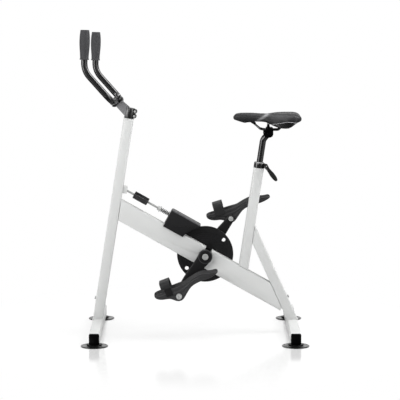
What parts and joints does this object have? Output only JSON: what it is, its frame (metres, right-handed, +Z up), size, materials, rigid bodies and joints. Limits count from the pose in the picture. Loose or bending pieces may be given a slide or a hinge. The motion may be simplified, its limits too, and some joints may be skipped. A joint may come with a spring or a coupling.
{
  "type": "aqua bike",
  "caption": "Stationary pool bike: square-tube frame on cross bars with suction cups, braked disc, cranks with strapped foot pedals, tilting U handlebar and a saddle on a height-set post.",
  "frame": {"origin": "the middle of the outer box, on the floor that the suction cups stand on", "axes": "+X from the handlebar to the saddle, +Y to the side with the disc, +Z up"},
  "size_m": [0.8914, 0.661, 1.2236],
  "materials": {
    "frame_paint": "light grey satin coat on steel tube",
    "bolt_steel": "bare stainless steel",
    "black_metal": "satin black coat",
    "black_gloss": "gloss black coat",
    "crank_metal": "matt black coat",
    "black_plastic": "moulded, matt",
    "housing_plastic": "moulded, fine grain",
    "pedal_plastic": "moulded, satin",
    "disc_plastic": "turned, fine rings",
    "strap_rubber": "moulded, matt",
    "grip_rubber": "soft, matt",
    "cup_rubber": "smoky, smooth",
    "pad_rubber": "friction face",
    "saddle_leather": "fine grain, slight sheen"
  },
  "bodies": {
    "base": {"front_crossbar": "frame_paint", "rear_crossbar": "frame_paint", "front_cap_left": "black_plastic", "front_cap_right": "black_plastic", "rear_cap_left": "black_plastic", "rear_cap_right": "black_plastic", "front_cup_left": "cup_rubber", "front_cup_right": "cup_rubber", "rear_cup_left": "cup_rubber", "rear_cup_right": "cup_rubber", "front_post": "frame_paint", "front_fixing_bolt": "bolt_steel", "stem_stub": "black_metal", "main_beam": "frame_paint", "seat_tube": "frame_paint", "rear_leg": "frame_paint", "rear_fixing_bolt": "bolt_steel", "bearing_left": "black_plastic", "bearing_right": "black_plastic", "brake_bracket": "frame_paint", "seat_collar": "black_metal", "collar_skewer": "bolt_steel", "stem": "black_metal", "stem_face": "black_metal", "stem_bolt_lower": "bolt_steel", "stem_bolt_upper": "bolt_steel", "face_bolt_lower": "bolt_steel", "face_bolt_upper": "bolt_steel"},
    "steering": {"handlebar": "black_gloss", "grip_left": "grip_rubber", "grip_right": "grip_rubber"},
    "crankset": {"resistance_disc": "disc_plastic", "crank_axle": "bolt_steel", "crank_left": "crank_metal", "crank_right": "crank_metal", "crank_cap_left": "bolt_steel", "crank_cap_right": "bolt_steel", "pedal_axle_left": "bolt_steel", "pedal_axle_right": "bolt_steel"},
    "left_pedal": {"pedal_left": "pedal_plastic", "strap_left": "strap_rubber"},
    "right_pedal": {"pedal_right": "pedal_plastic", "strap_right": "strap_rubber"},
    "brake_carriage": {"brake_housing": "housing_plastic", "brake_pad": "pad_rubber", "brake_spring": "bolt_steel"},
    "brake_screw": {"brake_rod": "bolt_steel", "brake_knob": "black_plastic", "brake_nut": "bolt_steel"},
    "mast": {"seat_post": "black_gloss"},
    "saddle": {"saddle_clamp_lower": "black_metal", "saddle_clamp_upper": "black_metal", "saddle_clamp_bolt": "bolt_steel", "saddle_clamp_screw": "bolt_steel", "saddle_pad": "saddle_leather", "saddle_rail_left": "black_gloss", "saddle_rail_right": "black_gloss", "saddle_shell": "black_plastic"},
    "lever": {"collar_lever": "black_metal"}
  },
  "joints": [
    {"name": "handlebar_tilt", "type": "hinge", "parent": "base", "child": "steering", "pos_m": [-0.3107, 0, 0.93447], "axis": [0.0536, 0.9968, -0.0597], "range_deg": [-25, 25]},
    {"name": "crank_turn", "type": "hinge", "parent": "base", "child": "crankset", "pos_m": [0.04111, 0, 0.31414], "axis": [0, 1, 0], "continuous": true},
    {"name": "left_pedal_turn", "type": "hinge", "parent": "crankset", "child": "left_pedal", "pos_m": [-0.06298, -0.106, 0.17347], "axis": [0, 1, 0], "continuous": true},
    {"name": "right_pedal_turn", "type": "hinge", "parent": "crankset", "child": "right_pedal", "pos_m": [0.14521, 0.114, 0.45481], "axis": [0, 1, 0], "continuous": true},
    {"name": "brake_travel", "type": "slide", "parent": "base", "child": "brake_carriage", "axis": [0.8712, 0, -0.4909], "range_m": [-0.004, 0.0017]},
    {"name": "knob_turn", "type": "hinge", "parent": "brake_carriage", "child": "brake_screw", "pos_m": [-0.27976, 0, 0.57988], "axis": [0.8712, 0, -0.4909], "range_deg": [-961, 409]},
    {"name": "seat_height", "type": "slide", "parent": "base", "child": "mast", "axis": [0.1478, 0, 0.989], "range_m": [-0.07, 0.06]},
    {"name": "saddle_tilt", "type": "hinge", "parent": "mast", "child": "saddle", "pos_m": [0.29221, 0, 0.80296], "axis": [0, 1, 0], "range_deg": [-12, 12]},
    {"name": "lever_open", "type": "hinge", "parent": "base", "child": "lever", "pos_m": [0.28399, -0.0218, 0.67355], "axis": [-0.7986, 0, -0.6018], "range_deg": [0, 140]}
  ],
  "couplings": [
    {"joint": "knob_turn", "follows": "brake_travel", "rad_per_m": 4188.8}
  ]
}
